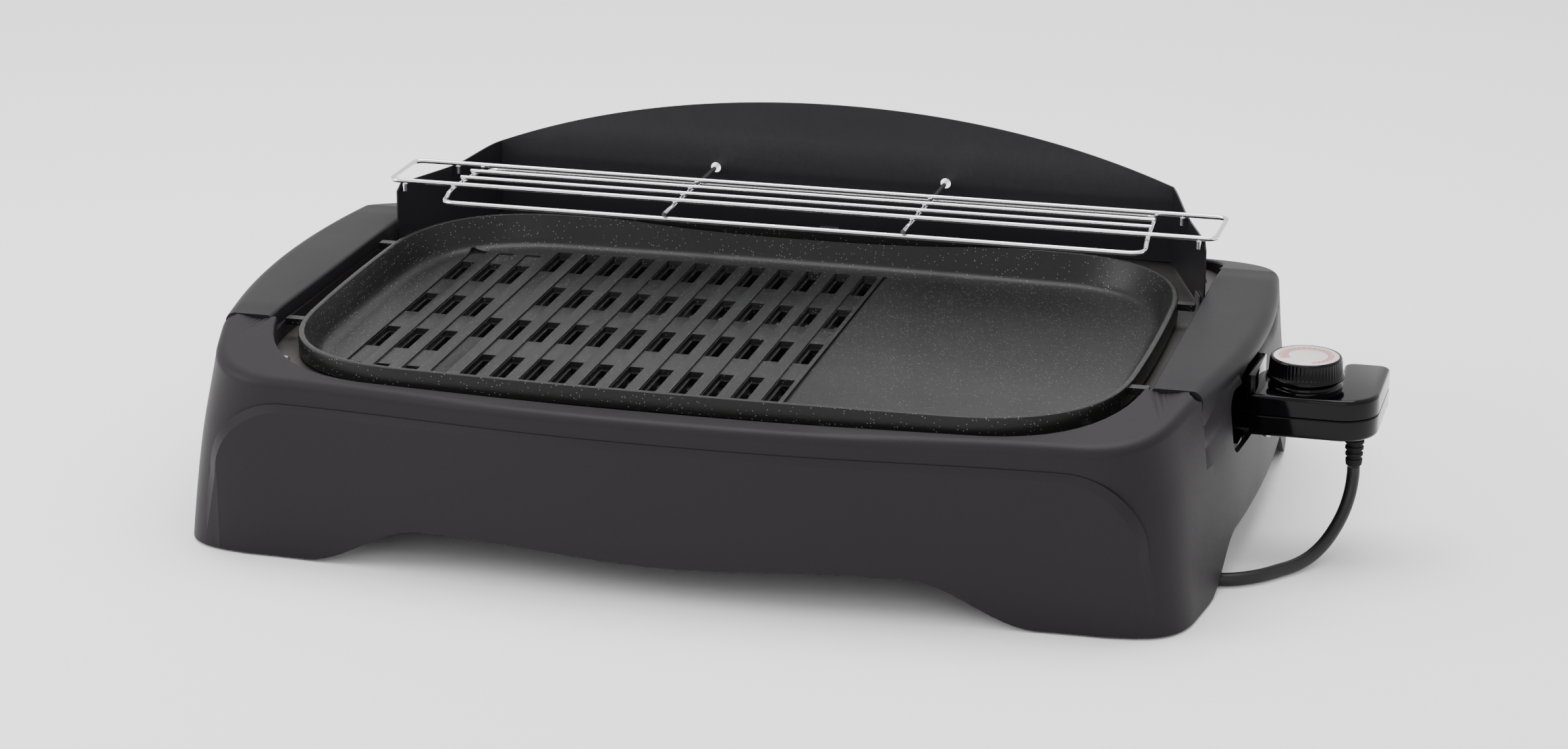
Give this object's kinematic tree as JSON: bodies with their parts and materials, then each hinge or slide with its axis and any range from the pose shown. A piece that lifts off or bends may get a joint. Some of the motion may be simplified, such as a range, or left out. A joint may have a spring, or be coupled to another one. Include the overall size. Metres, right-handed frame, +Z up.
{
  "type": "electric griddle",
  "caption": "Table-top electric griddle with a slotted grill plate, an arched wind guard, a wire warming rack and a plug-in thermostat on a cord.",
  "frame": {"origin": "on the table under the feet, on the plane that splits the griddle into left and right halves, at the plate's mid-depth station", "axes": "+X along the griddle towards the thermostat, -Y towards the cook, +Z up"},
  "size_m": [0.6603, 0.5348, 0.1852],
  "materials": {
    "housing_plastic": "fine matte texture",
    "handle_plastic": "fine matte texture",
    "gloss_plastic": "glossy",
    "nonstick_coating": "satin non-stick coating on cast aluminium",
    "painted_steel": "satin paint on sheet steel",
    "chrome_wire": "polished plating",
    "bright_steel": "bright",
    "aluminised_steel": "dull",
    "brass": "plain",
    "ceramic": "unglazed ceramic",
    "dial_face": "printed face",
    "soft_rubber": "matte",
    "cord_rubber": "satin jacket"
  },
  "bodies": {
    "base": {"base_housing": "housing_plastic", "drip_tray": "aluminised_steel", "foot_left_front": "soft_rubber", "foot_left_rear": "soft_rubber", "foot_right_front": "soft_rubber", "foot_right_rear": "soft_rubber", "frame_screw_left_front": "bright_steel", "frame_screw_left_rear": "bright_steel", "frame_screw_right_front": "bright_steel", "frame_screw_right_rear": "bright_steel", "grill_plate": "nonstick_coating", "guard_clip_left": "bright_steel", "guard_clip_rear": "bright_steel", "guard_clip_right": "bright_steel", "handle_left": "handle_plastic", "handle_right": "handle_plastic", "handle_screw_left_front": "bright_steel", "handle_screw_left_rear": "bright_steel", "handle_screw_right_front": "bright_steel", "handle_screw_right_rear": "bright_steel", "heat_shield_frame": "aluminised_steel", "heating_element": "bright_steel", "pin_holder": "ceramic", "socket_shroud": "bright_steel", "terminal_pin_front": "brass", "terminal_pin_rear": "brass", "tray_rail_front": "bright_steel", "tray_rail_rear": "bright_steel"},
    "thermostat": {"thermostat_upper_shell": "gloss_plastic", "thermostat_lower_shell": "gloss_plastic", "contact_carrier": "ceramic", "contact_sleeve_front": "brass", "contact_sleeve_rear": "brass", "probe_tube": "bright_steel", "switch_base": "ceramic", "bimetal_blade": "brass", "thermostat_screw_front": "bright_steel", "thermostat_screw_rear": "bright_steel", "strain_relief": "soft_rubber", "power_cord": "cord_rubber", "power_cord_tail": "cord_rubber", "cord_coil": "cord_rubber", "plug_body": "cord_rubber", "plug_pin_left": "brass", "plug_pin_right": "brass"},
    "knob": {"thermostat_knob": "gloss_plastic", "dial_disc": "dial_face", "control_spindle": "bright_steel"},
    "wind_guard": {"wind_guard": "painted_steel"},
    "rack": {"rack_basket_loop": "chrome_wire", "rack_cross_wire_left": "chrome_wire", "rack_cross_wire_right": "chrome_wire", "rack_inner_wire_front": "chrome_wire", "rack_inner_wire_rear": "chrome_wire", "rack_stud_left_front": "chrome_wire", "rack_stud_left_rear": "chrome_wire", "rack_stud_right_front": "chrome_wire", "rack_stud_right_rear": "chrome_wire", "rack_support_loop": "chrome_wire"}
  },
  "joints": [
    {"name": "thermostat_pull", "type": "slide", "parent": "base", "child": "thermostat", "axis": [1, 0, 0], "range_m": [0, 0.06]},
    {"name": "knob_turn", "type": "hinge", "parent": "thermostat", "child": "knob", "pos_m": [0.3225, -0.0265, 0.1012], "axis": [0, 0, 1], "range_deg": [0, 270]},
    {"name": "guard_lift", "type": "slide", "parent": "base", "child": "wind_guard", "axis": [0, 0, 1], "range_m": [0, 0.06]},
    {"name": "rack_slide", "type": "slide", "parent": "wind_guard", "child": "rack", "axis": [0, -1, 0], "range_m": [0, 0.04]}
  ]
}
